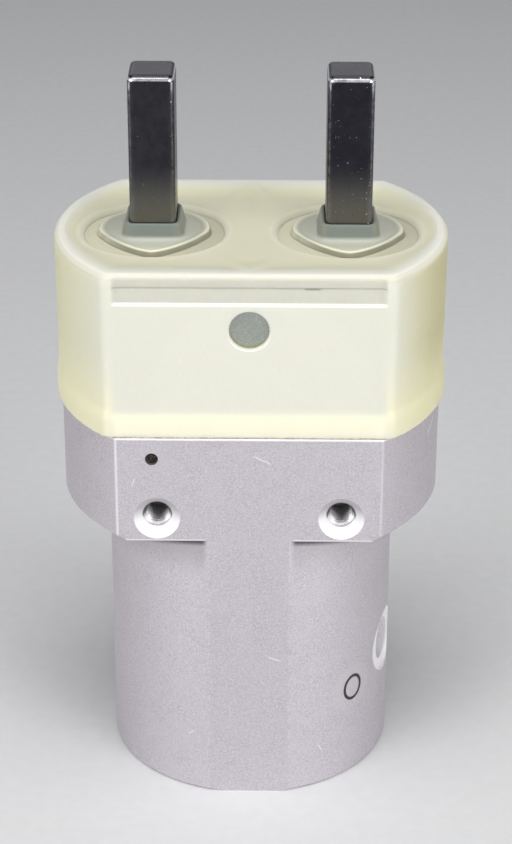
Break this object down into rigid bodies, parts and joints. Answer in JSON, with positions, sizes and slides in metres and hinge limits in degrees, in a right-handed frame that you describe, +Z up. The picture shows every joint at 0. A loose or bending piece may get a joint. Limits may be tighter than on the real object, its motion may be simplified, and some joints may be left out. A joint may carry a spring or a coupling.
{
  "type": "pneumatic parallel gripper",
  "caption": "Small round pneumatic parallel gripper: a stepped aluminium cylinder body with flats, two black steel fingers and a translucent silicone boot over the jaw slide.",
  "frame": {"origin": "centre of the housing's bottom face, on the cylinder's axis", "axes": "+Z up along the cylinder's axis, towards the fingertips; the fingers stand on X and open along it; the front flat, with the vent hole, faces -Y"},
  "size_m": [0.0368, 0.0264, 0.069],
  "materials": {
    "anodised_aluminium": "fine bead-blasted, clear anodised, satin",
    "hard_aluminium": "machined, hard anodised",
    "silicone": "moulded translucent pale yellow silicone, satin",
    "black_steel": "ground steel with black oxide, worn bright at the edges",
    "ground_steel": "ground and hardened",
    "hardened_steel": "hardened and ground plate",
    "spring_steel": "phosphated spring steel",
    "bronze": "oil-filled sintered bronze",
    "sintered_bronze": "dark sintered bronze, porous",
    "black_rubber": "black nitrile rubber",
    "ptfe": "filled plastic bearing strip",
    "magnet": "bonded magnet compound"
  },
  "bodies": {
    "body": {"housing": "anodised_aluminium", "end_cap": "anodised_aluminium", "end_cap_oring": "black_rubber", "snap_ring": "spring_steel", "rod_bush": "bronze", "rod_seal": "black_rubber", "jaw_guide": "hard_aluminium", "guide_screws": "black_steel", "guide_dowels": "ground_steel", "guide_pin": "ground_steel", "boot": "silicone", "vent_plug": "sintered_bronze"},
    "piston_assembly": {"piston": "hard_aluminium", "piston_seal": "black_rubber", "piston_wear_ring": "ptfe", "piston_magnet": "magnet", "piston_bumpers": "black_rubber", "piston_screw": "black_steel", "piston_rod": "ground_steel", "cam_plate": "hardened_steel", "cam_plate_pin": "ground_steel"},
    "left_finger": {"left_jaw": "black_steel", "left_jaw_pin": "ground_steel", "left_boot_collar": "silicone"},
    "right_finger": {"right_jaw": "black_steel", "right_jaw_pin": "ground_steel", "right_boot_collar": "silicone"}
  },
  "joints": [
    {"name": "piston_slide", "type": "slide", "parent": "body", "child": "piston_assembly", "axis": [0, 0, 1], "range_m": [-0.00225, 0.00225]},
    {"name": "left_jaw_slide", "type": "slide", "parent": "body", "child": "left_finger", "axis": [-1, 0, 0], "range_m": [-0.0015, 0.0015]},
    {"name": "right_jaw_slide", "type": "slide", "parent": "body", "child": "right_finger", "axis": [1, 0, 0], "range_m": [-0.0015, 0.0015]}
  ],
  "couplings": [
    {"joint": "left_jaw_slide", "follows": "piston_slide", "ratio": 0.66667},
    {"joint": "right_jaw_slide", "follows": "piston_slide", "ratio": 0.66667}
  ]
}
